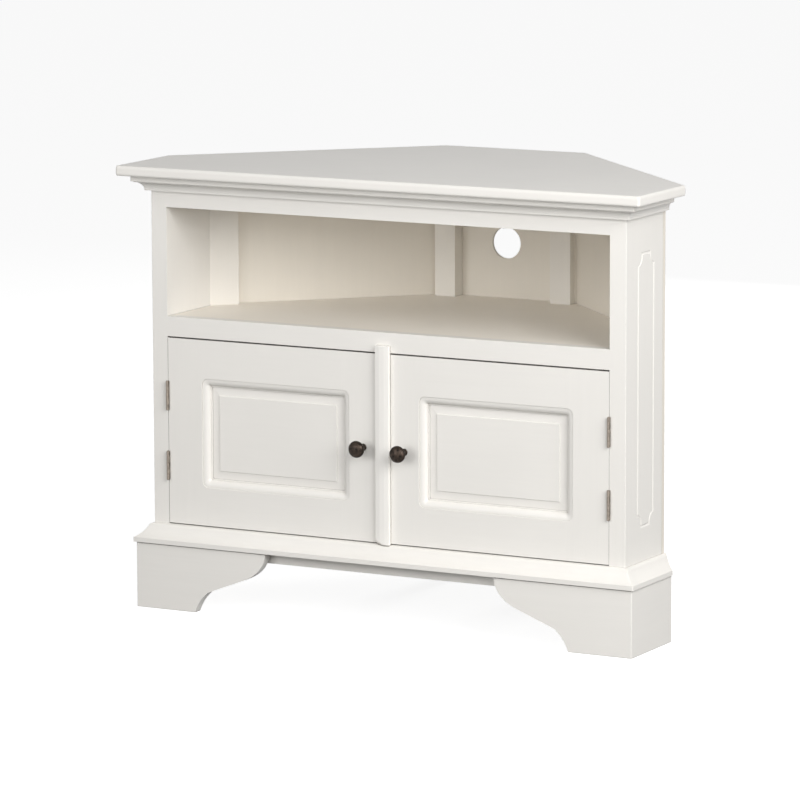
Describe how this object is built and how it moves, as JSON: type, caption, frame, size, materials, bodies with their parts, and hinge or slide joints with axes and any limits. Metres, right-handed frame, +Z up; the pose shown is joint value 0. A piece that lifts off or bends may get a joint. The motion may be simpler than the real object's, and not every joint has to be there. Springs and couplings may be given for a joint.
{
  "type": "corner tv cabinet",
  "caption": "Corner television cabinet with a canted back: open media bay above hinged raised-panel doors, moulded top, cornice and base, on ogee bracket feet.",
  "frame": {"origin": "on the floor under the middle of the cabinet's bounding box", "axes": "+X along its width, to the right as seen from the front; +Y towards the corner of the room; +Z up; the doors face -Y"},
  "size_m": [1, 0.539, 0.775],
  "materials": {
    "outside_paint": "satin brushed paint, warm white",
    "inside_paint": "matt paint, warm beige",
    "hinge_brass": "aged, dark brown",
    "knob_bronze": "oil rubbed bronze, nearly black, satin",
    "screw_steel": "zinc plated",
    "catch_plastic": "matt"
  },
  "bodies": {
    "cabinet": {"top_board": "outside_paint", "cornice_front": "outside_paint", "cornice_left": "outside_paint", "cornice_right": "outside_paint", "frieze_rail": "outside_paint", "shelf_rail": "outside_paint", "bottom_rail": "outside_paint", "base_moulding_front": "outside_paint", "base_moulding_left": "outside_paint", "base_moulding_right": "outside_paint", "middle_post": "outside_paint", "middle_bead": "outside_paint", "side_panel_left": "outside_paint", "side_panel_right": "outside_paint", "foot_front_left": "outside_paint", "foot_front_right": "outside_paint", "foot_side_left": "outside_paint", "foot_side_right": "outside_paint", "media_shelf": "inside_paint", "bottom_board": "inside_paint", "back_panel_centre": "inside_paint", "back_panel_left": "inside_paint", "back_panel_right": "inside_paint", "rear_post_side_left": "inside_paint", "rear_post_side_right": "inside_paint", "rear_post_back_left": "inside_paint", "rear_post_back_right": "inside_paint", "glue_block_left": "inside_paint", "glue_block_right": "inside_paint", "magnetic_catch_left": "catch_plastic", "magnetic_catch_right": "catch_plastic", "hinge_left_lower_frame_leaf": "hinge_brass", "hinge_left_lower_pin": "hinge_brass", "hinge_left_upper_frame_leaf": "hinge_brass", "hinge_left_upper_pin": "hinge_brass", "hinge_right_lower_frame_leaf": "hinge_brass", "hinge_right_lower_pin": "hinge_brass", "hinge_right_upper_frame_leaf": "hinge_brass", "hinge_right_upper_pin": "hinge_brass"},
    "door_left": {"door_left_hinge_stile": "outside_paint", "door_left_meeting_stile": "outside_paint", "door_left_top_rail": "outside_paint", "door_left_bottom_rail": "outside_paint", "door_left_raised_panel": "outside_paint", "knob_left": "knob_bronze", "knob_screw_left": "screw_steel", "strike_plate_left": "screw_steel", "hinge_left_lower_door_leaf": "hinge_brass", "hinge_left_upper_door_leaf": "hinge_brass"},
    "door_right": {"door_right_hinge_stile": "outside_paint", "door_right_meeting_stile": "outside_paint", "door_right_top_rail": "outside_paint", "door_right_bottom_rail": "outside_paint", "door_right_raised_panel": "outside_paint", "knob_right": "knob_bronze", "knob_screw_right": "screw_steel", "strike_plate_right": "screw_steel", "hinge_right_lower_door_leaf": "hinge_brass", "hinge_right_upper_door_leaf": "hinge_brass"}
  },
  "joints": [
    {"name": "left_door_hinge", "type": "hinge", "parent": "cabinet", "child": "door_left", "pos_m": [-0.4247, -0.2281, 0.3122], "axis": [0, 0, -1], "range_deg": [0, 175]},
    {"name": "right_door_hinge", "type": "hinge", "parent": "cabinet", "child": "door_right", "pos_m": [0.4247, -0.2281, 0.3122], "axis": [0, 0, 1], "range_deg": [0, 175]}
  ]
}
